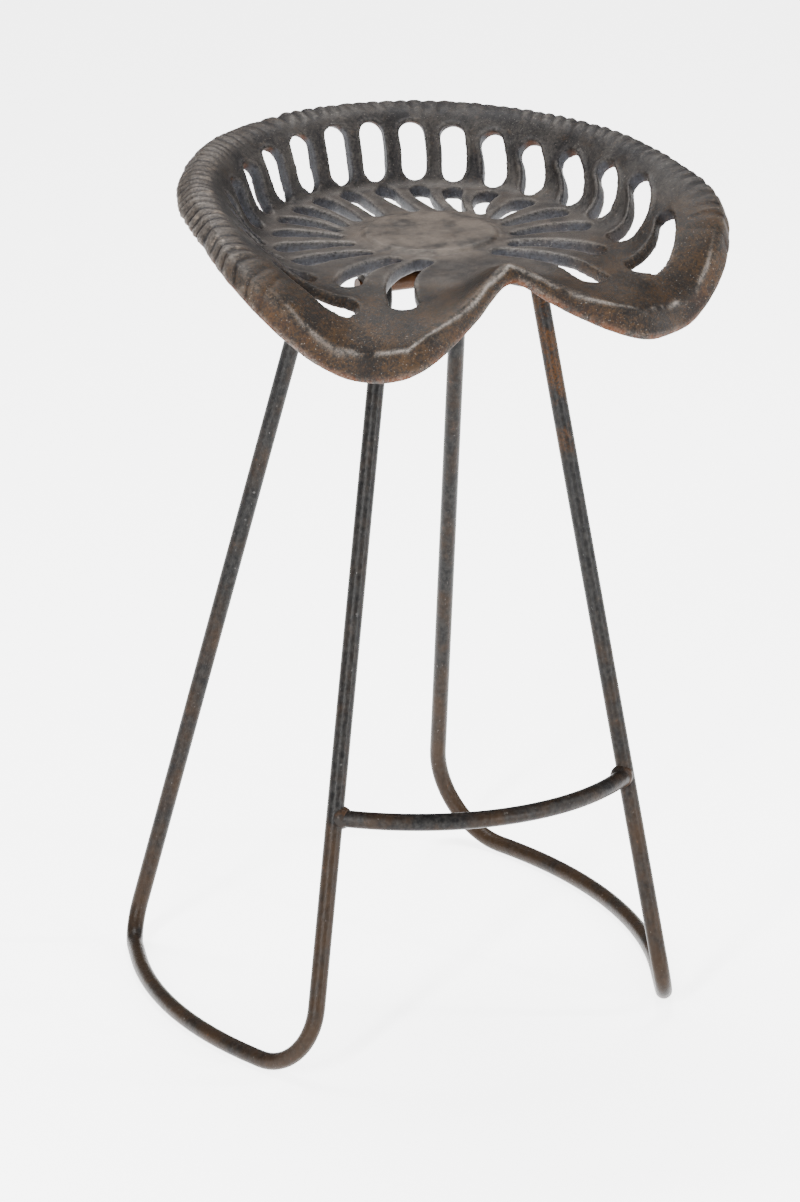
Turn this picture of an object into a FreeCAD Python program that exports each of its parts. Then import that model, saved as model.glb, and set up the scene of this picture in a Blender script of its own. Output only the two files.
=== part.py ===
# Bar stool with a pierced cast implement seat on a frame of bent round rod.
# Millimetres, +Z up, +Y towards the back of the seat, floor at z = 0.
# The frame is hand bent, so each side keeps its own foot positions.

import FreeCAD
import Part
import math
import os

V = FreeCAD.Vector

# Frame rod
ROD = 14.0
ROD_R = ROD / 2.0
FOOT_LEFT_FRONT = (-188.0, -86.0)
FOOT_LEFT_REAR = (-206.0, 257.0)
FOOT_RIGHT_FRONT = (138.5, -67.0)
FOOT_RIGHT_REAR = (130.0, 388.0)
LEFT_RUNNER_BOW = 57.0
RIGHT_RUNNER_BOW = 87.0
RAIL_LEFT_X = -60.0
RAIL_RIGHT_X = 70.0
RAIL_FRONT_Y = 56.0
RAIL_LEFT_REAR_Y = 187.5
RAIL_RIGHT_REAR_Y = 198.4
BEND_TOP = 22.0
BEND_LEFT_FRONT = 50.0
BEND_RIGHT_FRONT = 36.0
BEND_LEFT_REAR = 28.0
BEND_RIGHT_REAR = 62.0
ROD_JOINT_GAP = 1.0

# Footrest and crossbars
FOOTREST_LEFT_Z = 209.0
FOOTREST_RIGHT_Z = 201.0
FOOTREST_BOW = 49.0
FRONT_CROSSBAR_Y = 92.0
REAR_CROSSBAR_Y = 152.0
CROSSBAR_OVERHANG = 9.0

# Weld beads
FILLET_WELD_R = ROD_R + 2.5
FILLET_WELD_SHIFT = 5.0
CROSS_WELD_R = ROD_R + 1.5
RING_WELD_R = ROD_R + 2.0
RING_WELD_ROUND = 1.6
RING_WELD_LENGTH = 9.0
SEAT_WELD_R = 5.0
SEAT_WELD_LENGTH = 22.0

# Cast seat
SEAT_CENTRE_Y = 105.0
PAN_UNDERSIDE = 627.0
PAN_THICKNESS = 11.0
PAN_TOP = PAN_UNDERSIDE + PAN_THICKNESS
RIM_THICKNESS = 9.0
HUB_R = 25.0
PAD_R = 57.0
PAD_RISE = 3.5
PAD_EDGE = 5.0

# The rails carry the pan, so they lie one rod radius under it
RAIL_Z = PAN_UNDERSIDE - ROD_R
CROSSBAR_Z = RAIL_Z - ROD

# Stations of the seat: angle from the back, where the flat pan ends, then
# points (radius, height over the pan) up the wall and over the rim.
STATIONS = [
    (0.0, 128.0, [(143, 9), (151, 30), (161, 51), (173, 58), (189, 58), (201, 51)]),
    (30.0, 128.0, [(143, 8), (153, 28), (166, 46), (182, 55), (198, 54), (208, 46)]),
    (60.0, 127.0, [(144, 7), (155, 24), (166, 40), (177, 52), (190, 53), (200, 45)]),
    (85.0, 126.0, [(145, 7), (158, 25), (170, 40), (184, 50), (198, 49), (207, 40)]),
    (100.0, 124.0, [(147, 5), (164, 22), (180, 36), (196, 45), (209, 44), (217, 34)]),
    (116.0, 122.0, [(150, 1), (173, 12), (195, 25), (217, 31), (233, 29), (239, 17)]),
    (130.0, 120.0, [(150, -3), (171, -1), (193, 3), (214, 2), (231, -7), (237, -24)]),
    (140.0, 116.0, [(147, -4), (167, -7), (189, -11), (207, -20), (219, -31), (225, -46)]),
    (152.0, 112.0, [(141, -4), (161, -7), (183, -10), (205, -16), (223, -27), (230, -42)]),
    (164.0, 106.0, [(128, -2), (145, -2), (162, -1), (178, -2), (189, -8), (194, -20)]),
    (172.0, 100.0, [(120, 1), (135, 4), (149, 8), (160, 10), (168, 7), (173, -2)]),
    (180.0, 94.0, [(110, 3), (124, 8), (137, 13), (148, 18), (157, 18), (162, 11)]),
]
# Where a station's points lie along its curve, alike for all of them
STATION_STEPS = [0.0, 0.15, 0.38, 0.59, 0.77, 0.91, 1.0]
ROLL_STEPS = [0.0, 0.25, 0.5, 0.75, 1.0]
# Stations are spaced in the skin by the distance between them here on that curve
RIM_PLACE = 0.8

# Wall slots: angle, radius and height over the pan of the lower and upper end,
# width at each of these, dip of the cut in degrees, sideways bow
WALL_CUT_DEPTH = 30.0
WALL_SLOTS = [
    (6.0, 142.0, 3.0, 5.7, 160.0, 50.0, 20.5, 21.0, 22.0, 0.3),
    (19.0, 142.0, 3.0, 18.0, 161.0, 48.0, 20.5, 21.0, 24.0, 0.5),
    (32.0, 141.0, 2.0, 30.0, 166.0, 43.0, 20.5, 21.0, 30.0, 0.8),
    (46.5, 139.0, 1.0, 41.5, 167.0, 38.0, 21.0, 20.5, 38.0, 1.0),
    (61.5, 137.0, 0.0, 53.5, 166.0, 34.0, 21.5, 20.5, 46.0, 2.0),
    (81.0, 138.0, 1.0, 67.0, 167.0, 31.0, 22.5, 20.0, 54.0, 3.0),
    (98.0, 141.0, 0.0, 83.0, 170.0, 32.0, 23.0, 19.0, 60.0, 5.0),
    (119.5, 152.0, -3.0, 97.5, 181.0, 30.0, 24.0, 18.0, 62.0, 7.0),
    (138.0, 181.0, -11.0, 116.0, 193.0, 18.0, 27.0, 16.0, 66.0, 6.0),
]

# Pan slots: inner end angle and radius, outer end angle and radius,
# inner width, outer width, sideways bow of the centre line
PAN_CUT_DEPTH = 30.0
PAN_SLOTS = [
    (13.0, 65.0, 7.0, 135.0, 8.0, 16.5, 1.0),
    (31.0, 68.0, 20.0, 134.0, 7.5, 16.5, 2.0),
    (45.0, 70.0, 32.5, 132.0, 7.0, 17.0, 2.5),
    (57.5, 71.0, 46.5, 130.0, 7.0, 18.0, 3.0),
    (71.0, 69.0, 64.0, 127.0, 8.0, 20.0, 2.0),
    (88.0, 65.0, 83.0, 129.0, 9.0, 22.0, 2.0),
    (110.0, 65.0, 102.0, 133.0, 11.0, 23.0, 4.0),
    (132.0, 66.0, 128.5, 146.0, 15.0, 23.0, 7.0),
    (152.0, 64.0, 149.0, 171.0, 17.0, 25.0, 9.0),
]


def polar(angle, radius, height):
    a = math.radians(angle)
    return V(radius * math.sin(a), SEAT_CENTRE_Y + radius * math.cos(a), height)


def unit(vector):
    return vector * (1.0 / vector.Length)


def spline(points, steps):
    """A curve through the points that leaves the first one level."""
    curve = Part.BSplineCurve()
    last = points[-1] - points[-2]
    curve.interpolate(Points=points, Parameters=steps, InitialTangent=V(1, 0, 0), FinalTangent=last)
    return curve


def rod_run(start, end):
    """A straight stretch of rod."""
    return Part.makeCylinder(ROD_R, (end - start).Length, start, end - start)


def rod_bend(start, through, end):
    """A bend of rod along the arc through three points."""
    arc = Part.Arc(start, through, end).toShape()
    tangent = arc.tangentAt(arc.FirstParameter)
    disc = Part.Face(Part.Wire([Part.Circle(start, tangent, ROD_R).toShape()]))
    turn = math.degrees(arc.LastParameter - arc.FirstParameter)
    return disc.revolve(arc.Curve.Center, arc.Curve.Axis, turn)


def bent_rod(corners, bends):
    """One rod round a closed line of corners, open by a gap at the first."""
    stretches = []
    previous = corners[0]
    count = len(corners)
    for i in range(1, count):
        corner = corners[i]
        into = unit(corner - corners[i - 1])
        onward = unit(corners[(i + 1) % count] - corner)
        turn = into.getAngle(onward)
        reach = bends[i] * math.tan(turn / 2.0)
        start = corner - into * reach
        end = corner + onward * reach
        bulge = bends[i] / math.cos(turn / 2.0) - bends[i]
        stretches.append(rod_run(previous, start))
        stretches.append(rod_bend(start, corner + unit(onward - into) * bulge, end))
        previous = end
    last = unit(corners[0] - previous)
    stretches.append(rod_run(previous, corners[0] - last * ROD_JOINT_GAP))
    return stretches[0].fuse(stretches[1:]).removeSplitter()


def runner_bend(corner, before, after, reach_before, reach_after):
    """The largest bend that the two runs of the bowed runner leave room for."""
    run_before = (corner - before).Length - reach_before
    run_after = (corner - after).Length - reach_after
    turn = (corner - before).getAngle(after - corner)
    return 0.97 * min(run_before, run_after) / math.tan(turn / 2.0)


def corner_reach(corner, before, after, bend):
    turn = (corner - before).getAngle(after - corner)
    return bend * math.tan(turn / 2.0)


def leg_loop(front_foot, rear_foot, rail_x, rail_rear_y, runner_bow, bend_front, bend_rear):
    """Front leg, bowed floor runner, rear leg and top rail from one bent rod."""
    side = math.copysign(1.0, rail_x)
    front = V(front_foot[0], front_foot[1], ROD_R)
    rear = V(rear_foot[0], rear_foot[1], ROD_R)
    bowed = (front + rear) * 0.5 + V(side * runner_bow, 0, 0)
    top_front = V(rail_x, RAIL_FRONT_Y, RAIL_Z)
    top_rear = V(rail_x, rail_rear_y, RAIL_Z)
    joint = (top_front + top_rear) * 0.5
    reach_front = corner_reach(front, top_front, bowed, bend_front)
    reach_rear = corner_reach(rear, bowed, top_rear, bend_rear)
    bend_bow = runner_bend(bowed, front, rear, reach_front, reach_rear)
    corners = [joint, top_front, front, bowed, rear, top_rear]
    bends = [0.0, BEND_TOP, bend_front, bend_bow, bend_rear, BEND_TOP]
    return bent_rod(corners, bends)


def leg_point(foot, rail_x, height):
    """The middle of a front leg at a height."""
    foot_point = V(foot[0], foot[1], ROD_R)
    top = V(rail_x, RAIL_FRONT_Y, RAIL_Z)
    share = (height - ROD_R) / (RAIL_Z - ROD_R)
    return foot_point + (top - foot_point) * share


def footrest_points():
    """The left end, the middle and the right end of the footrest's arc."""
    left = leg_point(FOOT_LEFT_FRONT, RAIL_LEFT_X, FOOTREST_LEFT_Z)
    right = leg_point(FOOT_RIGHT_FRONT, RAIL_RIGHT_X, FOOTREST_RIGHT_Z)
    return left, (left + right) * 0.5 - V(0, FOOTREST_BOW, 0), right


def footrest_bar(legs):
    """A rod bent to an arc in front of the legs, coped round each leg."""
    bar = rod_bend(*footrest_points()).cut(legs)
    return max(bar.Solids, key=lambda solid: solid.Volume)


def footrest_weld(end, middle, others):
    """A bead all round the coped end of the footrest."""
    bead = Part.makeSphere(FILLET_WELD_R, end + unit(middle - end) * FILLET_WELD_SHIFT)
    return bead.cut(others)


def crossbar(y):
    length = RAIL_RIGHT_X - RAIL_LEFT_X + 2 * CROSSBAR_OVERHANG
    start = V(RAIL_LEFT_X - CROSSBAR_OVERHANG, y, CROSSBAR_Z)
    return Part.makeCylinder(ROD_R, length, start, V(1, 0, 0))


def crossbar_weld(x, y, others):
    """The bead where a crossbar passes under a rail."""
    bottom = V(x, y, CROSSBAR_Z)
    bead = Part.makeCylinder(CROSS_WELD_R, ROD, bottom, V(0, 0, 1))
    return bead.cut(others)


def closing_weld(rail_x, rail_rear_y, rod):
    """The ring and root of the butt weld that closes one loop."""
    y = (RAIL_FRONT_Y + rail_rear_y) / 2.0 - ROD_JOINT_GAP / 2.0
    start = V(rail_x, y - RING_WELD_LENGTH / 2.0, RAIL_Z)
    ring = Part.makeCylinder(RING_WELD_R, RING_WELD_LENGTH, start, V(0, 1, 0))
    rims = [edge for edge in ring.Edges if edge.Closed]
    ring = ring.makeFillet(RING_WELD_ROUND, rims)
    over_pan = Part.makeBox(40, 40, 40, V(rail_x - 20, y - 20, PAN_UNDERSIDE))
    return ring.cut(rod).cut(over_pan)


def seat_weld(rail_x, y, rod):
    """A bead along the outer side of a rail, up to the flat under the pan."""
    side = math.copysign(1.0, rail_x)
    start = V(rail_x + side * ROD_R * 0.86, y - SEAT_WELD_LENGTH / 2.0, PAN_UNDERSIDE - 2.2)
    bead = Part.makeCylinder(SEAT_WELD_R, SEAT_WELD_LENGTH, start, V(0, 1, 0))
    over_pan = Part.makeBox(40, 80, 40, V(start.x - 20, y - 40, PAN_UNDERSIDE))
    return bead.cut(rod).cut(over_pan)


def seat_section(angle, flat_end, profile):
    """The three curves of one station: wall and rim top, rolled edge, underside."""
    top_points = [V(flat_end, 0, PAN_TOP)]
    for radius, rise in profile:
        top_points.append(V(radius, 0, PAN_TOP + rise))
    top = spline(top_points, STATION_STEPS)
    under_points = []
    for share in STATION_STEPS:
        along = unit(V(*top.tangent(share)[0]))
        thickness = PAN_THICKNESS + (RIM_THICKNESS - PAN_THICKNESS) * share
        under_points.append(top.value(share) + V(along.z, 0, -along.x) * thickness)
    under = spline(under_points, STATION_STEPS)
    out = unit(V(*top.tangent(1.0)[0]))
    down = V(out.z, 0, -out.x)
    rim_middle = (top_points[-1] + under_points[-1]) * 0.5
    roll = []
    for quarter in ROLL_STEPS:
        turn = math.pi * quarter
        roll.append(rim_middle + (out * math.sin(turn) - down * math.cos(turn)) * (RIM_THICKNESS / 2.0))
    edge = Part.BSplineCurve()
    edge.interpolate(Points=roll, Parameters=ROLL_STEPS, InitialTangent=out, FinalTangent=-out)
    curves = [top, edge, under]
    for curve in curves:
        curve.rotate(FreeCAD.Placement(V(0, 0, 0), V(0, 0, 1), 90.0 - angle))
        curve.translate(V(0, SEAT_CENTRE_Y, 0))
    return curves


def skin(curves, places):
    """A smooth surface through curves that share their knots."""
    columns = []
    for row in zip(*[curve.getPoles() for curve in curves]):
        across = Part.BSplineCurve()
        across.interpolate(Points=list(row), Parameters=places)
        columns.append(across)
    poles = [list(row) for row in zip(*[column.getPoles() for column in columns])]
    surface = Part.BSplineSurface()
    surface.buildFromPolesMultsKnots(poles, columns[0].getMultiplicities(), curves[0].getMultiplicities(),
                                     columns[0].getKnots(), curves[0].getKnots(), False, False, 3, 3)
    return surface


def flat_face(height, outer_edge, first_angle, last_angle):
    """The level part of the pan between the hub and the foot of the wall."""
    ends = [outer_edge.valueAt(outer_edge.FirstParameter), outer_edge.valueAt(outer_edge.LastParameter)]
    middle = polar((first_angle + last_angle) / 2.0, HUB_R, height)
    hub = Part.Arc(polar(first_angle, HUB_R, height), middle, polar(last_angle, HUB_R, height)).toShape()
    edges = [
        outer_edge,
        Part.LineSegment(ends[1], polar(last_angle, HUB_R, height)).toShape(),
        hub,
        Part.LineSegment(polar(first_angle, HUB_R, height), ends[0]).toShape(),
    ]
    return Part.Face(Part.Wire(edges)), hub


def end_face(surfaces, at, angle):
    """The section that closes one end of the casting's run."""
    top, edge, under = [surface.uIso(at).toShape() for surface in surfaces]
    foot_top = top.valueAt(top.FirstParameter)
    foot_under = under.valueAt(under.FirstParameter)
    hub_top = polar(angle, HUB_R, PAN_TOP)
    hub_under = polar(angle, HUB_R, PAN_UNDERSIDE)
    lines = [
        Part.LineSegment(foot_top, hub_top).toShape(),
        Part.LineSegment(hub_top, hub_under).toShape(),
        Part.LineSegment(hub_under, foot_under).toShape(),
    ]
    return Part.Face(Part.Wire(Part.__sortEdges__([top, edge, under] + lines)))


def seat_shell():
    """The casting before it is pierced: one half skinned over its stations, and mirrored."""
    before = [(-angle, flat, profile) for angle, flat, profile in STATIONS[1:3]]
    after = [(360.0 - angle, flat, profile) for angle, flat, profile in STATIONS[-3:-1]]
    run = before[::-1] + STATIONS + after[::-1]
    angles = [station[0] for station in run]
    sections = [seat_section(*station) for station in run]
    places = [0.0]
    for one, other in zip(sections, sections[1:]):
        places.append(places[-1] + (other[0].value(RIM_PLACE) - one[0].value(RIM_PLACE)).Length)
    places = [place / places[-1] for place in places]
    surfaces = [skin(list(curves), places) for curves in zip(*sections)]
    foot_top = surfaces[0].vIso(0.0).toShape()
    foot_under = surfaces[2].vIso(0.0).toShape()
    flat_top, hub_top = flat_face(PAN_TOP, foot_top, angles[0], angles[-1])
    flat_under, hub_under = flat_face(PAN_UNDERSIDE, foot_under, angles[0], angles[-1])
    faces = [surface.toShape() for surface in surfaces]
    faces += [flat_top, flat_under, Part.makeRuledSurface(hub_top, hub_under)]
    faces += [end_face(surfaces, places[0], angles[0]), end_face(surfaces, places[-1], angles[-1])]
    shell = Part.makeShell(faces)
    shell.sewShape()
    body = Part.Solid(shell)
    if body.Volume < 0:
        body.reverse()
    half_space = Part.makeBox(600, 800, 400, V(0, SEAT_CENTRE_Y - 400, PAN_UNDERSIDE - 200))
    half = body.common(half_space)
    other = half.mirror(V(0, 0, 0), V(1, 0, 0))
    centre = V(0, SEAT_CENTRE_Y, PAN_UNDERSIDE)
    hub = Part.makeCylinder(PAD_R, PAN_THICKNESS, centre)
    pad_base = V(0, SEAT_CENTRE_Y, PAN_TOP)
    pad = Part.makeCone(PAD_R, PAD_R - PAD_EDGE, PAD_RISE, pad_base)
    return half.fuse([other, hub, pad]).removeSplitter()


def round_ended(start, end, start_width, end_width, across, bend):
    """A tapered outline, round at both ends, about a centre line that bends sideways."""
    along = unit(end - start)
    half_start = across * (start_width / 2.0)
    half_end = across * (end_width / 2.0)
    half_middle = (half_start + half_end) * 0.5
    middle = (start + end) * 0.5 + across * bend
    start_tip = start - along * (start_width / 2.0)
    end_tip = end + along * (end_width / 2.0)
    return Part.Wire([
        Part.Arc(start + half_start, middle + half_middle, end + half_end).toShape(),
        Part.Arc(end + half_end, end_tip, end - half_end).toShape(),
        Part.Arc(end - half_end, middle - half_middle, start - half_start).toShape(),
        Part.Arc(start - half_start, start_tip, start + half_start).toShape(),
    ])


def wall_slot(low_angle, low_r, low_rise, high_angle, high_r, high_rise, low_width, high_width, dip, bow, side):
    """A slot through the wall of the seat, cut outwards and down at its dip."""
    low = polar(side * low_angle, low_r, PAN_TOP + low_rise)
    high = polar(side * high_angle, high_r, PAN_TOP + high_rise)
    middle = (low + high) * 0.5
    outward = unit(V(middle.x, middle.y - SEAT_CENTRE_Y, 0))
    through = outward * math.cos(math.radians(dip)) - V(0, 0, math.sin(math.radians(dip)))
    rise = high - low
    length = rise - through * rise.dot(through)
    along = unit(length)
    across = unit(through.cross(along))
    start = middle - length * 0.5 + along * (low_width / 2.0) - through * WALL_CUT_DEPTH
    end = middle + length * 0.5 - along * (high_width / 2.0) - through * WALL_CUT_DEPTH
    outline = round_ended(start, end, low_width, high_width, across, side * bow)
    return Part.Face(outline).extrude(through * (2.0 * WALL_CUT_DEPTH))


def pan_slot(in_angle, in_r, out_angle, out_r, in_width, out_width, bow, side):
    """A tapered slot down through the pan, slightly curved."""
    inner = polar(side * in_angle, in_r + in_width / 2.0, PAN_UNDERSIDE - PAN_CUT_DEPTH)
    outer = polar(side * out_angle, out_r - out_width / 2.0, PAN_UNDERSIDE - PAN_CUT_DEPTH)
    along = unit(outer - inner)
    across = V(-along.y, along.x, 0)
    outline = round_ended(inner, outer, in_width, out_width, across, side * bow)
    return Part.Face(outline).extrude(V(0, 0, PAN_THICKNESS + 2.0 * PAN_CUT_DEPTH))


def seat_casting():
    slots = []
    for side in (-1, 1):
        for slot in WALL_SLOTS:
            slots.append(wall_slot(*slot, side))
        for slot in PAN_SLOTS:
            slots.append(pan_slot(*slot, side))
    return seat_shell().cut(slots)


def build():
    nodes = {}
    left = leg_loop(FOOT_LEFT_FRONT, FOOT_LEFT_REAR, RAIL_LEFT_X, RAIL_LEFT_REAR_Y,
                    LEFT_RUNNER_BOW, BEND_LEFT_FRONT, BEND_LEFT_REAR)
    right = leg_loop(FOOT_RIGHT_FRONT, FOOT_RIGHT_REAR, RAIL_RIGHT_X, RAIL_RIGHT_REAR_Y,
                     RIGHT_RUNNER_BOW, BEND_RIGHT_FRONT, BEND_RIGHT_REAR)
    footrest = footrest_bar([left, right])
    nodes["left_leg_loop"] = left
    nodes["right_leg_loop"] = right
    nodes["footrest_bar"] = footrest
    end_left, middle, end_right = footrest_points()
    nodes["footrest_weld_left"] = footrest_weld(end_left, middle, [left, footrest])
    nodes["footrest_weld_right"] = footrest_weld(end_right, middle, [right, footrest])
    rails = {"left": (RAIL_LEFT_X, left), "right": (RAIL_RIGHT_X, right)}
    for place, y in (("front", FRONT_CROSSBAR_Y), ("rear", REAR_CROSSBAR_Y)):
        bar = crossbar(y)
        nodes[place + "_crossbar"] = bar
        for name, (x, rod) in rails.items():
            nodes[place + "_crossbar_weld_" + name] = crossbar_weld(x, y, [bar, rod])
            nodes[name + "_rail_weld_" + place] = seat_weld(x, y, rod)
    nodes["left_loop_closing_weld"] = closing_weld(RAIL_LEFT_X, RAIL_LEFT_REAR_Y, left)
    nodes["right_loop_closing_weld"] = closing_weld(RAIL_RIGHT_X, RAIL_RIGHT_REAR_Y, right)
    nodes["seat_casting"] = seat_casting()
    return nodes


def stand_at_origin(nodes):
    """Put the middle of the stool's box over the origin."""
    box = Part.makeCompound(list(nodes.values())).optimalBoundingBox(False, False)
    shift = V(-(box.XMin + box.XMax) / 2.0, -(box.YMin + box.YMax) / 2.0, -box.ZMin)
    for shape in nodes.values():
        shape.translate(shift)
    print("shift", round(shift.x, 3), round(shift.y, 3), round(shift.z, 3))
    print("size", round(box.XLength, 2), round(box.YLength, 2), round(box.ZLength, 2))


os.makedirs("parts", exist_ok=True)
pieces = build()
stand_at_origin(pieces)
for name, shape in pieces.items():
    shape.exportStep(os.path.join("parts", name + ".step"))
    print(name, len(shape.Solids), shape.isValid(), round(shape.Volume))
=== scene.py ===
# Bar stool with a pierced cast seat on a frame of bent rod: its looks.
# Metres and degrees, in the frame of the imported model.

import math

import bpy
import numpy as np
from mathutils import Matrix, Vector


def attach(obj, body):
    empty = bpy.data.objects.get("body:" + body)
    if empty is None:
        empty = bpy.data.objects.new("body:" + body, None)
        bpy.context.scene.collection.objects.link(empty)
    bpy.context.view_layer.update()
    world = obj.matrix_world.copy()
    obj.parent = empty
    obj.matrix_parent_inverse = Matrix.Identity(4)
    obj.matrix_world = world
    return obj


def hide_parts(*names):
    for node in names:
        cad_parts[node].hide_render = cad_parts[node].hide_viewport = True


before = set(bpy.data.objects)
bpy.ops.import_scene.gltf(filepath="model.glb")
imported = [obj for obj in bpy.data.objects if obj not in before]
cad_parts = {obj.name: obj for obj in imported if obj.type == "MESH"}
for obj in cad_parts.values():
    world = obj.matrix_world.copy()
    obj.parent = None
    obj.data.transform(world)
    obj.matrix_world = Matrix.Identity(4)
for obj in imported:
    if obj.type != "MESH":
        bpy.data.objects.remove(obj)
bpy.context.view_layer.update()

# The pad's middle, from which the casting's radii are measured
MID_X = 0.011846
MID_Y = -0.032565

# The rim by angle from the back, after the stations of the part's source:
# the radius where it starts, at its crest and at its edge
RIM_ANGLES = [0, 30, 60, 85, 100, 116, 130, 140, 152, 164, 172, 180]
RIM_START = [0.165, 0.172, 0.170, 0.176, 0.188, 0.206, 0.204, 0.198, 0.194, 0.168, 0.152, 0.141]
RIM_CREST = [0.189, 0.198, 0.190, 0.198, 0.209, 0.233, 0.231, 0.219, 0.223, 0.189, 0.168, 0.157]
RIM_EDGE = [0.201, 0.208, 0.200, 0.207, 0.217, 0.239, 0.237, 0.225, 0.230, 0.194, 0.173, 0.162]

# The casting's mesh: its fineness, and how much its sharp edges are softened
VOXEL = 0.0016
SMOOTH_ROUNDS = 5
SMOOTH_SHARE = 0.5

# Rounds of averaging that give a point's surroundings, and the width of a slot's border
RELIEF_ROUNDS = 14
BORDER_ROUNDS = 10

# Smooth unevenness: the lengths of wave, each half the last, the waves of each and the sum's range
WAVE_LENGTHS = 3
WAVES_PER_LENGTH = 8
WAVE_RANGE = 5.0

# How the front lobes' lips are eased, each with the middle angle and width of its place:
# the right one's tip up and in and its shoulder out, the left one down
TIP_RISE = 0.0058
TIP_RISE_PLACE = (146.5, 7.5)
TIP_PULL = 0.0054
TIP_PULL_PLACE = (152.5, 8.7)
SHOULDER_PUSH = 0.0014
SHOULDER_PLACE = (136, 5)
LEFT_DROP = 0.0015
LEFT_DROP_PLACE = (138, 8)

# Places across, from the pad's middle, between which the right half sets in
RIGHT_HALF = (-0.01, 0.03)

# Rope ribs of the rim: height, number to a degree at the back and its growth towards the front,
# the way outward over which a rib leans by one whole rib, and how far the ribs wander
RIB_HEIGHT = 0.0018
RIBS_PER_DEGREE = 0.272
RIB_GROWTH = 0.0001
RIB_LEAN = 0.075
RIB_WANDER = 0.45

# Their section: its power, the level that stays in the skin, and where a ridge begins and is full
RIB_POWER = 0.75
RIB_LEVEL = 0.58
RIDGE_RANGE = (-0.42, 0.0)

# Their height from place to place, as a share of the whole: its mean and how far it varies
RIB_SHARE_MEAN = 0.75
RIB_SHARE_VARIES = 0.7

# Fine ribs between them, stronger at the sides, round that angle and over that width
FINE_RIB_HEIGHT = 0.0003
FINE_PER_RIB = 2.6
FINE_WANDER = 0.7
FINE_LEVEL = 0.6
FINE_EXTRA = 1.6
FINE_EXTRA_PLACE = (80, 22)

# The raised line round the pad, with its radius and width, and the borders of the slots
PAD_LINE_HEIGHT = 0.0008
PAD_LINE_PLACE = (0.058, 0.0016)
BORDER_HEIGHT = 0.0011
BORDER_RANGE = (0.08, 0.22)

# Size and seed of the waves that vary the ribs, the fine ribs and the skin
RIB_WAVES = (0.05, 3)
FINE_WAVES = (0.03, 5)
LONG_WAVES = (0.045, 8)
SHORT_WAVES = (0.012, 9)
LONG_WAVE_HEIGHT = 0.0005
SHORT_WAVE_HEIGHT = 0.00022

# Angles from the back between which these fade out
ROPE_FADES = (112.0, 134.0)
PAD_LINE_FADES = (120.0, 150.0)
BORDERS_FADE = (106.0, 124.0)

# Angles from the back between which these set in
LOBES_BEGIN = (104.0, 126.0)
POLISH_HIGHLIGHT_BEGINS = (120.0, 138.0)
LIP_RUST_BEGINS = (70.0, 120.0)

# Radii between which these set in or end
LIP_BEGINS = (0.15, 0.21)
WALL_BEGINS = (0.128, 0.142)
CEILINGS_BEGIN = (0.13, 0.15)
BROWN_BEGINS = (0.11, 0.15)
PAN_ENDS = (0.138, 0.15)
PAD_RUB_ENDS = (0.05, 0.085)
PAN_LIGHT_ENDS = (0.125, 0.15)

# Reliefs between which a place counts as a slot's edge, as wear with a painted highlight and as a hollow
# with painted shade
EDGE_RELIEF = (0.0002, 0.0009)
WORN_AND_HIGHLIT_RELIEF = (0.0001, 0.0011)
HOLLOW_RELIEF = (0.0001, 0.0010)

# What facing outwards counts beside facing upwards, for the rim's outer and the wall's inner side
OUTWARD_SHARE = 0.8
OUTER_FACING = (-0.1, 0.35)
INNER_FACING = (0.3, 0.8)

# How far a place has to face upwards, downwards or sideways to be marked
UPPER_FACING = (0.5, 0.9)
POLISH_HIGHLIGHT_FACING = (0.1, 0.6)
BROWN_FACING = (-0.6, 0.1)
CEILING_FACING = (0.3, 0.7)
LIP_FACING = (-0.45, 0.4)
STEEP_FACING = (0.35, 0.8)
SIDE_FACING = (0.55, 0.85)

# The ribs' painted sheen, a lighter colour on their ridges, grows over this way to the left of the middle
SHEEN_SIDE = (0.02, 0.16)

# The lip's line of polish and painted highlight: its width, and how far it lies inside the crest
POLISH_HIGHLIGHT_WIDTH = 0.0013
POLISH_HIGHLIGHT_INSIDE_CREST = 0.001

# What wear and painted highlight lose on the wall, and the strength of the painted light on the pan and
# of the ceilings' rust
WALL_WEAR_AND_HIGHLIGHT_LOSS = 0.7
PAN_LIGHT_SHARE = 0.34
CEILING_RUST_SHARE = 0.8

# Colours of the casting; BRIGHT, WARM and DARK also give painted highlights, painted sheen, painted light
# on the pan and painted shade
DARK = (0.006, 0.0055, 0.006, 1)
GREY = (0.0325, 0.0288, 0.0258, 1)
BLUE_GREY = (0.024, 0.0255, 0.0315, 1)
WARM = (0.098, 0.079, 0.064, 1)
GOLDEN = (0.0375, 0.0178, 0.0046, 1)
RUST = (0.041, 0.0112, 0.0010, 1)
LOBE = (0.0046, 0.0033, 0.0023, 1)
BRIGHT = (0.30, 0.275, 0.25, 1)
BARE = (0.20, 0.16, 0.125, 1)

# Colours of the rods
ROD_DARK = (0.0042, 0.0042, 0.0044, 1)
ROD_GREY = (0.015, 0.0142, 0.0135, 1)
ROD_BROWN = (0.0215, 0.0120, 0.0060, 1)
BAR_RUST = (0.050, 0.020, 0.007, 1)
FLECK_RUST = (0.070, 0.024, 0.007, 1)
UPPER_RUST = (0.038, 0.0165, 0.0055, 1)
ROD_BRIGHT = (0.26, 0.25, 0.24, 1)

# The rods' patches and streaks are drawn out a little in height
ROD_STRETCH = (1.0, 1.0, 0.8)

# Colours of the beads
BEAD_DARK = (0.011, 0.0092, 0.008, 1)
BEAD_BROWN = (0.030, 0.0155, 0.008, 1)
BEAD_BRIGHT = (0.12, 0.10, 0.085, 1)

# The studio
WHITE = (1.0, 1.0, 1.0, 1)
FLOOR_SHADES = ((0.93, 0.93, 0.93, 1), (0.95, 0.95, 0.95, 1))
FLOOR_REACH = 14.0
FLOOR_GLOW = 4.0
WORLD_STRENGTH = 0.36

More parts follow.
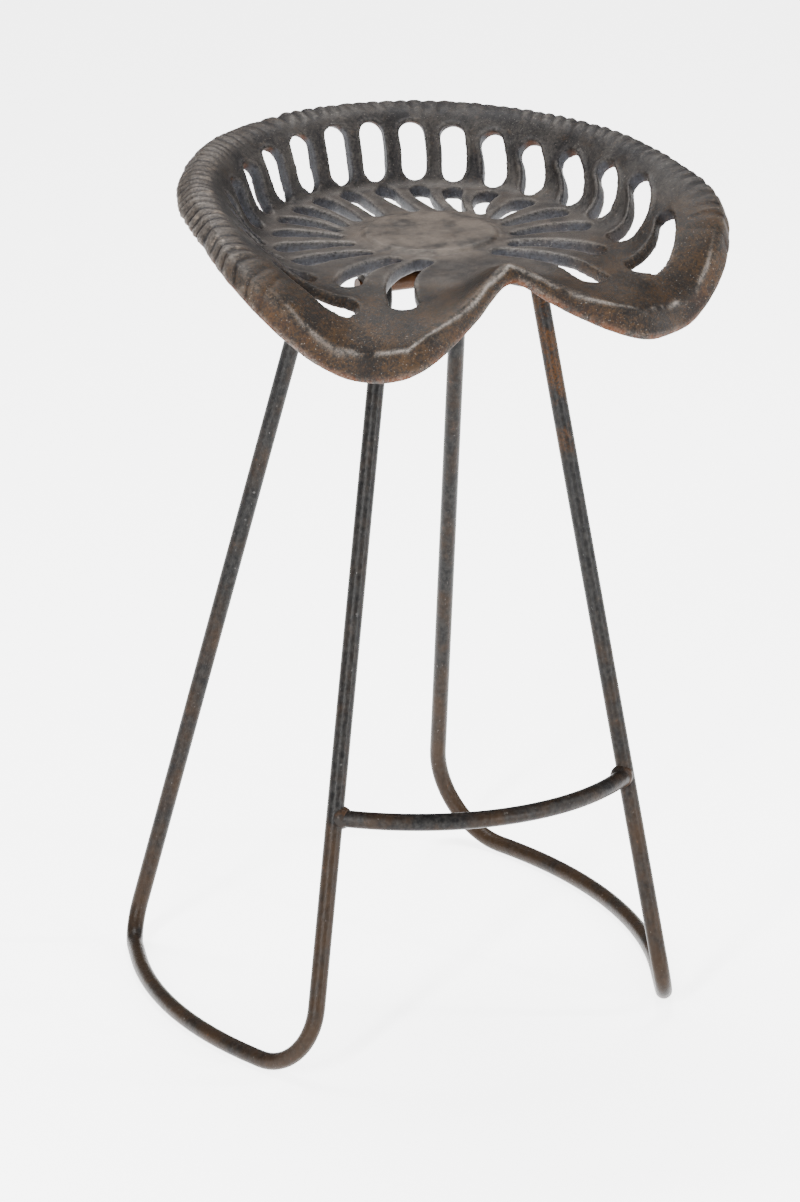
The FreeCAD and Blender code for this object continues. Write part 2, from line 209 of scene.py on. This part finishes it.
# Lamps: name, place, the point each faces, width, height and power in watts
LAMPS = [
    ("key", (-2.3, -2.0, 2.0), (0, 0, 0.45), 0.22, 2.0, 170),
    ("fill", (2.3, -1.0, 1.6), (0, 0, 0.4), 0.16, 2.0, 65),
    ("low_left", (-1.9, -1.9, 0.55), (0, 0, 0.25), 0.12, 1.0, 62),
    ("low_right", (1.3, -2.3, 0.5), (0, 0, 0.25), 0.10, 0.9, 70),
    ("over", (0.1, 0.9, 2.7), (0, 0, 0.6), 1.4, 0.4, 120),
]

# The photograph's camera: the point it faces, its distance and angles, lens and sensor in millimetres
CAMERA_AIM = (-0.025154, -0.057565, 0.33775)
CAMERA_DISTANCE = 6.0
CAMERA_TURN = -23.5
CAMERA_TILT = 20.0
CAMERA_LENS = 220.85
SENSOR_WIDTH = 36.0
CLIP_END = 60.0


def smoothstep(low, high, value):
    """0 under low, 1 over high, smooth between them."""
    t = np.clip((value - low) / (high - low), 0.0, 1.0)
    return t * t * (3.0 - 2.0 * t)


def fading(low, high, value):
    """1 under low, 0 over high, smooth between them."""
    return 1.0 - smoothstep(low, high, value)


def bump_at(value, middle, width):
    """1 at the middle, falling to nothing on both sides."""
    return np.exp(-((value - middle) / width) ** 2)


def dot(one, other):
    """The product of two lists of arrows, arrow by arrow."""
    return (one * other).sum(1)


def wave_noise(points, size, seed):
    """Smooth unevenness of about -1 to 1 with features of about that size, the same on every run."""
    chance = np.random.RandomState(seed)
    total = np.zeros(len(points))
    for octave in range(WAVE_LENGTHS):
        for _ in range(WAVES_PER_LENGTH):
            direction = chance.normal(size=3)
            direction *= (2.0 ** octave) * math.pi / size / np.linalg.norm(direction)
            total += np.sin(points @ direction + chance.uniform(0, 2 * math.pi)) / (2.0 ** octave)
    return total / WAVE_RANGE


def blurred(values, ends, rounds):
    """Each value averaged with its neighbours along the mesh's edges."""
    count = len(values)
    degree = np.bincount(ends.ravel(), minlength=count)
    for _ in range(rounds):
        total = np.zeros_like(values)
        for column in range(values.shape[1]):
            one = values[:, column]
            total[:, column] = np.bincount(ends[:, 0], one[ends[:, 1]], count)
            total[:, column] += np.bincount(ends[:, 1], one[ends[:, 0]], count)
        values = 0.5 * values + 0.5 * total / degree[:, None]
    return values


def link(obj):
    """Put a new object into the scene."""
    bpy.context.scene.collection.objects.link(obj)
    return obj


def coordinates(mesh):
    flat = np.zeros(len(mesh.vertices) * 3, np.float32)
    mesh.vertices.foreach_get("co", flat)
    return flat.reshape(-1, 3).astype(float)


def normals(mesh):
    flat = np.zeros(len(mesh.vertices) * 3, np.float32)
    mesh.vertex_normals.foreach_get("vector", flat)
    return flat.reshape(-1, 3).astype(float)


def edge_ends(mesh):
    """The two vertices of each edge."""
    flat = np.zeros(len(mesh.edges) * 2, np.int32)
    mesh.edges.foreach_get("vertices", flat)
    return flat.reshape(-1, 2)


def set_values(mesh, name, values):
    """Store one value from 0 to 1 for each vertex, for the material to read."""
    attribute = mesh.attributes.new(name, "FLOAT", "POINT")
    attribute.data.foreach_set("value", np.clip(values, 0.0, 1.0).astype(np.float32))


class Casting:
    """The casting's skin, point by point. Angles run from the back, alike on both sides."""

    def __init__(self, mesh):
        self.mesh = mesh
        self.ends = edge_ends(mesh)
        self.points = coordinates(mesh)
        self.facing = normals(mesh)
        across = self.points[:, 0] - MID_X
        back = self.points[:, 1] - MID_Y
        self.angle = np.degrees(np.arctan2(np.abs(across), back))
        self.radius = np.hypot(across, back)
        self.start = np.interp(self.angle, RIM_ANGLES, RIM_START)
        self.crest = np.interp(self.angle, RIM_ANGLES, RIM_CREST)
        self.edge = np.interp(self.angle, RIM_ANGLES, RIM_EDGE)

    def outward(self):
        """Level arrows of length 1 from the pad's middle through each point."""
        level = np.zeros(len(self.points))
        arrows = np.stack([self.points[:, 0] - MID_X, self.points[:, 1] - MID_Y, level], 1)
        return arrows / np.maximum(self.radius, 0.001)[:, None]

    def past(self, line, low, high):
        """0 to 1 as the radius passes a line of the rim, from low to high beside it."""
        return smoothstep(line + low, line + high, self.radius)

    def move(self, lift):
        """Move each point along its normal, and read the normals again."""
        self.points = self.points + self.facing * lift[:, None]
        self.mesh.vertices.foreach_set("co", self.points.astype(np.float32).ravel())
        self.mesh.update()
        self.facing = normals(self.mesh)

    def relief(self):
        """How far each point stands out of its surroundings, below 0 in a hollow."""
        around = blurred(self.points, self.ends, RELIEF_ROUNDS)
        return dot(self.points - around, self.facing)

    def ease_lobes(self):
        """The right lobe's lip drawn round and level at its tip, the left one's let down a little."""
        outward = self.outward()
        right = smoothstep(*RIGHT_HALF, self.points[:, 0] - MID_X)
        rise = right * TIP_RISE * bump_at(self.angle, *TIP_RISE_PLACE)
        rise -= (1.0 - right) * LEFT_DROP * bump_at(self.angle, *LEFT_DROP_PLACE)
        push = SHOULDER_PUSH * bump_at(self.angle, *SHOULDER_PLACE)
        reach = right * (push - TIP_PULL * bump_at(self.angle, *TIP_PULL_PLACE))
        weight = smoothstep(*LIP_BEGINS, self.radius)
        self.points[:, 0] += outward[:, 0] * reach * weight
        self.points[:, 1] += outward[:, 1] * reach * weight
        self.points[:, 2] += rise * weight

    def find_zones(self):
        """Which points are on the rim, on its roped part and on the wall."""
        self.radial = self.outward()
        upper = self.facing[:, 2] + OUTWARD_SHARE * dot(self.facing, self.radial)
        outer_side = smoothstep(*OUTER_FACING, np.clip(upper, -1.0, 1.0))
        self.on_rim = self.past(self.start, low=-0.003, high=0.009) * outer_side
        self.roped = self.on_rim * fading(*ROPE_FADES, self.angle)
        self.wall = smoothstep(*WALL_BEGINS, self.radius)
        self.wall *= 1.0 - self.past(self.start, low=-0.006, high=0.002)

    def rib_heights(self):
        """The rope ribs with the fine ribs between them, and the rope's ridges marked."""
        unevenness = wave_noise(self.points, *RIB_WAVES)
        turn = RIBS_PER_DEGREE * self.angle + RIB_GROWTH * self.angle ** 2
        turn += (self.radius - self.crest) / RIB_LEAN
        turn += RIB_WANDER * unevenness
        rope = np.abs(np.sin(math.pi * turn)) ** RIB_POWER - RIB_LEVEL
        self.ridge = smoothstep(*RIDGE_RANGE, rope)
        fine_turn = FINE_PER_RIB * turn + FINE_WANDER * wave_noise(self.points, *FINE_WAVES)
        fine = np.abs(np.sin(math.pi * fine_turn)) - FINE_LEVEL
        fine *= 1.0 + FINE_EXTRA * bump_at(self.angle, *FINE_EXTRA_PLACE)
        share = RIB_SHARE_MEAN + RIB_SHARE_VARIES * unevenness
        return self.roped * (RIB_HEIGHT * rope * share + FINE_RIB_HEIGHT * fine)

    def pad_line(self):
        """The thin raised line round the pad."""
        line = PAD_LINE_HEIGHT * bump_at(self.radius, *PAD_LINE_PLACE)
        return line * fading(*PAD_LINE_FADES, self.angle) * smoothstep(*UPPER_FACING, self.facing[:, 2])

    def waves(self):
        """The skin's own unevenness."""
        long_waves = LONG_WAVE_HEIGHT * wave_noise(self.points, *LONG_WAVES)
        return long_waves + SHORT_WAVE_HEIGHT * wave_noise(self.points, *SHORT_WAVES)

    def borders(self):
        """A soft raised border round each slot of the wall, on its inner side."""
        edges = smoothstep(*EDGE_RELIEF, self.relief())
        near = blurred(edges[:, None], self.ends, BORDER_ROUNDS)[:, 0]
        inner = self.facing[:, 2] - OUTWARD_SHARE * dot(self.facing, self.radial)
        behind = self.wall * fading(*BORDERS_FADE, self.angle)
        lift = BORDER_HEIGHT * smoothstep(*BORDER_RANGE, near) * behind * smoothstep(*INNER_FACING, inner)
        return blurred(lift[:, None], self.ends, 1)[:, 0]

    def mark_slots(self):
        """The inner walls of the slots, in the pan by their steepness, elsewhere by facing sideways."""
        tangent = np.stack([-self.radial[:, 1], self.radial[:, 0], np.zeros(len(self.points))], 1)
        in_pan = fading(*PAN_ENDS, self.radius)
        steep = smoothstep(*STEEP_FACING, 1.0 - np.abs(self.facing[:, 2]))
        sideways = smoothstep(*SIDE_FACING, np.abs(dot(self.facing, tangent)))
        in_slot = np.maximum(in_pan * steep, sideways)
        in_slot *= 1.0 - self.past(self.edge, low=-0.02, high=-0.012)
        set_values(self.mesh, "in_slot", in_slot)

    def mark_wear_and_light(self):
        """Ridges with wear and a painted highlight, painted shade in hollows and between the ribs, the
        pad's rubbing with painted light on the pan, the lip's polish with a painted highlight and the
        ribs' painted sheen.
        """
        up = self.facing[:, 2]
        relief = blurred(self.relief()[:, None], self.ends, 1)[:, 0]
        # Wear with a painted highlight: lighter where the skin stands out, less so on the wall
        worn_and_highlit = smoothstep(*WORN_AND_HIGHLIT_RELIEF, relief) * (1.0 - WALL_WEAR_AND_HIGHLIGHT_LOSS * self.wall)
        # Rubbing on the pad; on the pan, a painted pool of light
        rubbed_and_lit = fading(*PAD_RUB_ENDS, self.radius)
        rubbed_and_lit = np.maximum(rubbed_and_lit, PAN_LIGHT_SHARE * fading(*PAN_LIGHT_ENDS, self.radius))
        # Polish and a painted highlight along the lip's crest
        polish_and_highlight = bump_at(self.radius, self.crest - POLISH_HIGHLIGHT_INSIDE_CREST, POLISH_HIGHLIGHT_WIDTH)
        polish_and_highlight *= smoothstep(*POLISH_HIGHLIGHT_BEGINS, self.angle)
        left_side = smoothstep(*SHEEN_SIDE, MID_X - self.points[:, 0])
        set_values(self.mesh, "worn_and_highlit", worn_and_highlit)
        # Painted shade: darker in the hollows
        set_values(self.mesh, "hollow", smoothstep(*HOLLOW_RELIEF, -relief))
        set_values(self.mesh, "rubbed_and_lit", rubbed_and_lit * smoothstep(*UPPER_FACING, up))
        set_values(self.mesh, "polish_and_highlight", polish_and_highlight * smoothstep(*POLISH_HIGHLIGHT_FACING, up))
        # Painted sheen on the ridges of the left ribs
        set_values(self.mesh, "sheen", self.roped * self.ridge * left_side)
        # Painted shade in the furrows between the ribs
        set_values(self.mesh, "furrow_shade", self.roped * (1.0 - self.ridge))

    def mark_rust(self):
        """Brown lobes, and rust on the ceilings of the wall's slots and under the lip."""
        up = self.facing[:, 2]
        brown = smoothstep(*LOBES_BEGIN, self.angle) * smoothstep(*BROWN_FACING, up)
        ceiling = smoothstep(*CEILING_FACING, -up) * smoothstep(*CEILINGS_BEGIN, self.radius)
        ceiling *= 1.0 - self.on_rim
        ceiling *= 1.0 - self.past(self.start, low=-0.004, high=0.0)
        lip_under = smoothstep(*LIP_FACING, -up) * self.past(self.edge, low=-0.02, high=-0.004)
        lip_under *= smoothstep(*LIP_RUST_BEGINS, self.angle)
        set_values(self.mesh, "golden", brown * smoothstep(*BROWN_BEGINS, self.radius))
        set_values(self.mesh, "rusty", np.maximum(CEILING_RUST_SHARE * ceiling, lip_under))


def even_copy(node):
    """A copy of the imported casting, meshed evenly and with softened edges."""
    piece = link(bpy.data.objects.new("pierced_cast_seat", node.data.copy()))
    remesh = piece.modifiers.new("even_mesh", "REMESH")
    remesh.mode = "VOXEL"
    remesh.voxel_size = VOXEL
    smooth = piece.modifiers.new("soft_edges", "SMOOTH")
    smooth.iterations = SMOOTH_ROUNDS
    smooth.factor = SMOOTH_SHARE
    graph = bpy.context.evaluated_depsgraph_get()
    mesh = bpy.data.meshes.new_from_object(piece.evaluated_get(graph))
    piece.modifiers.clear()
    piece.data = mesh
    return piece


def cast_seat():
    """The casting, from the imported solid, with rounded edges, roped rim and uneven skin."""
    piece = even_copy(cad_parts["seat_casting"])
    casting = Casting(piece.data)
    casting.ease_lobes()
    casting.find_zones()
    casting.move(casting.rib_heights() + casting.pad_line() + casting.waves())
    casting.move(casting.borders())
    casting.mark_slots()
    casting.mark_wear_and_light()
    casting.mark_rust()
    for polygon in piece.data.polygons:
        polygon.use_smooth = True
    return piece


class Net:
    """The nodes of one material."""

    def __init__(self, name):
        self.material = bpy.data.materials.new(name)
        self.material.use_nodes = True
        self.tree = self.material.node_tree
        self.tree.nodes.clear()
        self.place = self.add("ShaderNodeTexCoord").outputs["Object"]

    def add(self, kind, inputs=None, **settings):
        node = self.tree.nodes.new(kind)
        for name, value in settings.items():
            setattr(node, name, value)
        for key, value in (inputs or {}).items():
            if isinstance(value, bpy.types.NodeSocket):
                self.tree.links.new(value, node.inputs[key])
            else:
                node.inputs[key].default_value = value
        return node

    def noise(self, scale, detail, rough, vector=None):
        inputs = {"Vector": vector or self.place, "Scale": scale, "Detail": detail, "Roughness": rough}
        return self.add("ShaderNodeTexNoise", inputs).outputs["Fac"]

    def band(self, value, zero, one):
        """0 at one limit and beyond, 1 at the other and beyond, smooth between them."""
        inputs = {"Value": value, "From Min": zero, "From Max": one}
        return self.add("ShaderNodeMapRange", inputs, interpolation_type="SMOOTHSTEP").outputs["Result"]

    def math(self, operation, one, other):
        return self.add("ShaderNodeMath", {0: one, 1: other}, operation=operation).outputs[0]

    def times(self, one, other):
        return self.math("MULTIPLY", one, other)

    def plus(self, value, other, share):
        """The value with that share of the other one added."""
        return self.math("ADD", value, self.times(other, share))

    def mesh_value(self, name):
        return self.add("ShaderNodeAttribute", attribute_name=name).outputs["Fac"]

    def mix(self, share, one, other):
        inputs = {0: share, 6: one, 7: other}
        return self.add("ShaderNodeMix", inputs, data_type="RGBA").outputs[2]

    def cover(self, color, top, mask, share):
        """The colour under that share of another one, where the mask is 1."""
        return self.mix(self.times(mask, share), color, top)

    def bump(self, height, depth, strength, below=None):
        inputs = {"Height": height, "Distance": depth, "Strength": strength}
        if below is not None:
            inputs["Normal"] = below
        return self.add("ShaderNodeBump", inputs).outputs["Normal"]

    def finish(self, color, roughness, metallic, normal, specular):
        inputs = {"Base Color": color, "Roughness": roughness, "Metallic": metallic, "Normal": normal}
        inputs["Specular IOR Level"] = specular
        shader = self.add("ShaderNodeBsdfPrincipled", inputs)
        self.add("ShaderNodeOutputMaterial", {"Surface": shader.outputs[0]})
        return self.material


def cast_iron():
    """Dark mottled iron, bluish in the slots, brown on the lobes, with rubbing, wear and rust in places,
    painted highlights on edges, lip and left ribs, painted shade in hollows and furrows, and painted
    light on the pan.
    """
    net = Net("worn_cast_iron")
    patches = net.noise(scale=34.0, detail=6.0, rough=0.66)
    mottle = net.noise(scale=430.0, detail=6.0, rough=0.8)
    grain = net.noise(scale=1300.0, detail=3.0, rough=0.6)
    slot = net.mesh_value("in_slot")
    sheen = net.mesh_value("sheen")
    golden = net.mesh_value("golden")
    rusty = net.mesh_value("rusty")

    blotches = net.plus(net.times(patches, 0.45), mottle, share=0.55)
    color = net.mix(net.band(blotches, zero=0.40, one=0.62), DARK, GREY)
    color = net.mix(net.times(slot, net.band(mottle, zero=0.3, one=0.65)), color, BLUE_GREY)

    # Rubbing on the pad, and painted light on the pan
    rub_and_light_patches = net.band(net.noise(scale=48.0, detail=6.0, rough=0.62), zero=0.28, one=0.66)
    color = net.cover(color, WARM, net.times(net.mesh_value("rubbed_and_lit"), rub_and_light_patches), share=0.75)
    # Painted sheen on the ridges of the left ribs
    color = net.cover(color, WARM, net.times(sheen, net.band(mottle, zero=0.25, one=0.7)), share=0.45)
    # Painted shade in the furrows between the ribs
    color = net.cover(color, DARK, net.mesh_value("furrow_shade"), share=0.7)
    bare = net.band(net.noise(scale=70.0, detail=3.0, rough=0.6), zero=0.60, one=0.70)
    color = net.cover(color, BARE, net.times(sheen, bare), share=0.45)

    color = net.cover(color, LOBE, golden, share=0.72)
    spots = net.band(net.plus(net.times(patches, 0.35), mottle, share=0.65), zero=0.46, one=0.58)
    color = net.cover(color, GOLDEN, net.times(golden, spots), share=0.62)
    brown = net.band(net.noise(scale=60.0, detail=5.0, rough=0.75), zero=0.50, one=0.72)
    brown = net.times(brown, net.band(mottle, zero=0.4, one=0.6))
    color = net.cover(color, GOLDEN, brown, share=0.35)
    flecks = net.band(net.noise(scale=75.0, detail=5.0, rough=0.75), zero=0.40, one=0.58)
    color = net.mix(net.times(rusty, flecks), color, RUST)

    # Painted highlight together with wear on the edges that stand out
    worn_and_highlit = net.times(net.mesh_value("worn_and_highlit"), net.band(mottle, zero=0.3, one=0.7))
    color = net.cover(color, BRIGHT, worn_and_highlit, share=0.28)
    # Painted shade in the hollows
    color = net.cover(color, DARK, net.mesh_value("hollow"), share=0.55)
    # Polish with a painted highlight along the lip's crest
    polish_and_highlight = net.times(net.mesh_value("polish_and_highlight"), net.band(patches, zero=0.38, one=0.60))
    polish_and_highlight = net.times(polish_and_highlight, net.band(mottle, zero=0.25, one=0.6))
    color = net.cover(color, BRIGHT, polish_and_highlight, share=0.52)
    chips = net.band(net.noise(scale=800.0, detail=2.0, rough=0.5), zero=0.66, one=0.74)
    color = net.cover(color, BRIGHT, chips, share=0.28)

    roughness = net.plus(0.38, mottle, share=0.26)
    for other, share in ((worn_and_highlit, -0.1), (slot, 0.06), (polish_and_highlight, -0.14), (rusty, 0.25)):
        roughness = net.plus(roughness, other, share)
    normal = net.bump(mottle, depth=0.0007, strength=0.5)
    normal = net.bump(grain, depth=0.0004, strength=0.75, below=normal)
    specular = net.plus(0.14, rusty, share=-0.1)
    return net.finish(color, roughness, metallic=0.25, normal=normal, specular=specular)


def rod_steel(name, brown, extra):
    """Dark bar steel with mill scale, browner towards the floor, and browner all over by the extra."""
    net = Net(name)
    across, back, height = net.add("ShaderNodeSeparateXYZ", {0: net.place}).outputs
    stretched = net.add("ShaderNodeMapping", {"Vector": net.place, "Scale": ROD_STRETCH}).outputs[0]
    streaks = net.noise(scale=260.0, detail=5.0, rough=0.7, vector=stretched)
    patches = net.noise(scale=34.0, detail=6.0, rough=0.7, vector=stretched)
    grain = net.noise(scale=620.0, detail=3.0, rough=0.6)

    color = net.mix(net.band(streaks, zero=0.35, one=0.7), ROD_DARK, ROD_GREY)
    near_floor = net.band(height, zero=0.36, one=0.02)
    browned = net.plus(net.math("ADD", patches, extra), near_floor, share=0.2)
    color = net.cover(color, brown, net.band(browned, zero=0.44, one=0.80), share=0.7)
    flecks = net.times(net.band(streaks, zero=0.6, one=0.74), net.band(patches, zero=0.48, one=0.62))
    color = net.cover(color, FLECK_RUST, flecks, share=0.6)

    # Rust on the upper part of the right front leg
    upper = net.times(net.band(height, zero=0.40, one=0.54), net.band(across, zero=0.05, one=0.07))
    upper = net.times(upper, net.band(back, zero=-0.05, one=-0.08))
    upper = net.times(upper, net.band(grain, zero=0.38, one=0.62))
    color = net.mix(net.times(upper, net.band(patches, zero=0.46, one=0.58)), color, UPPER_RUST)

    chips = net.noise(scale=330.0, detail=2.0, rough=0.5, vector=stretched)
    color = net.cover(color, ROD_BRIGHT, net.band(chips, zero=0.68, one=0.78), share=0.14)
    roughness = net.plus(0.22, patches, share=0.2)
    normal = net.bump(streaks, depth=0.0007, strength=0.5)
    normal = net.bump(grain, depth=0.0003, strength=0.5, below=normal)
    return net.finish(color, roughness, metallic=0.0, normal=normal, specular=0.065)


def weld_metal():
    """Dark lumpy beads with brown patches and brighter lumps."""
    net = Net("weld_bead")
    lumps = net.noise(scale=260.0, detail=3.0, rough=0.55)
    patches = net.noise(scale=60.0, detail=4.0, rough=0.6)
    color = net.mix(net.band(patches, zero=0.4, one=0.65), BEAD_DARK, BEAD_BROWN)
    color = net.cover(color, BEAD_BRIGHT, net.band(lumps, zero=0.55, one=0.75), share=0.25)
    roughness = net.plus(0.30, patches, share=0.2)
    normal = net.bump(lumps, depth=0.0012, strength=0.6)
    return net.finish(color, roughness, metallic=0.0, normal=normal, specular=0.065)


def pale_floor():
    """A pale floor that glows, so that it stays about as light as the photograph's ground."""
    net = Net("pale_floor")
    shade = net.mix(net.noise(scale=3.0, detail=2.0, rough=0.5), *FLOOR_SHADES)
    grain = net.noise(scale=90.0, detail=4.0, rough=0.6)
    normal = net.bump(grain, depth=0.0002, strength=0.1)
    material = net.finish(shade, roughness=0.9, metallic=0.0, normal=normal, specular=0.2)
    shader = net.tree.nodes["Principled BSDF"]
    shader.inputs["Emission Color"].default_value = WHITE
    shader.inputs["Emission Strength"].default_value = FLOOR_GLOW
    return material


def give(obj, material):
    """Let the object have this material only."""
    obj.data.materials.clear()
    obj.data.materials.append(material)


def softbox(name, place, aim, width, height, power):
    """A rectangular lamp that faces a point."""
    lamp = bpy.data.lights.new(name, "AREA")
    lamp.shape = "RECTANGLE"
    lamp.size = width
    lamp.size_y = height
    lamp.energy = power
    obj = link(bpy.data.objects.new(name, lamp))
    obj.location = place
    obj.rotation_euler = (Vector(aim) - Vector(place)).to_track_quat("-Z", "Y").to_euler()


def studio():
    """The floor, an even light from all round and the lamps."""
    mesh = bpy.data.meshes.new("studio_floor")
    corners = [(x * FLOOR_REACH, y * FLOOR_REACH, 0) for x, y in ((-1, -1), (1, -1), (1, 1), (-1, 1))]
    mesh.from_pydata(corners, [], [(0, 1, 2, 3)])
    floor = link(bpy.data.objects.new("studio_floor", mesh))
    give(floor, pale_floor())
    world = bpy.data.worlds.new("studio")
    bpy.context.scene.world = world
    world.use_nodes = True
    background = world.node_tree.nodes["Background"]
    background.inputs["Color"].default_value = WHITE
    background.inputs["Strength"].default_value = WORLD_STRENGTH
    for lamp in LAMPS:
        softbox(*lamp)


def camera():
    """The camera at the photograph's angle."""
    data = bpy.data.cameras.new("camera")
    data.sensor_width = SENSOR_WIDTH
    data.lens = CAMERA_LENS
    data.clip_end = CLIP_END
    turn = math.radians(CAMERA_TURN)
    tilt = math.radians(CAMERA_TILT)
    back = Vector((math.sin(turn) * math.cos(tilt), -math.cos(turn) * math.cos(tilt), math.sin(tilt)))
    obj = link(bpy.data.objects.new("camera", data))
    obj.location = Vector(CAMERA_AIM) + back * CAMERA_DISTANCE
    obj.rotation_euler = (-back).to_track_quat("-Z", "Y").to_euler()
    bpy.context.scene.camera = obj


seat = cast_seat()
give(seat, cast_iron())
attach(seat, "root")
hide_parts("seat_casting")
rods = rod_steel("rod_steel", ROD_BROWN, extra=0.0)
hidden_bars = rod_steel("rusty_bar_steel", BAR_RUST, extra=0.3)
beads = weld_metal()
for name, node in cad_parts.items():
    if "weld" in name:
        give(node, beads)
    elif "crossbar" in name:
        give(node, hidden_bars)
    elif name != "seat_casting":
        give(node, rods)
studio()
camera()
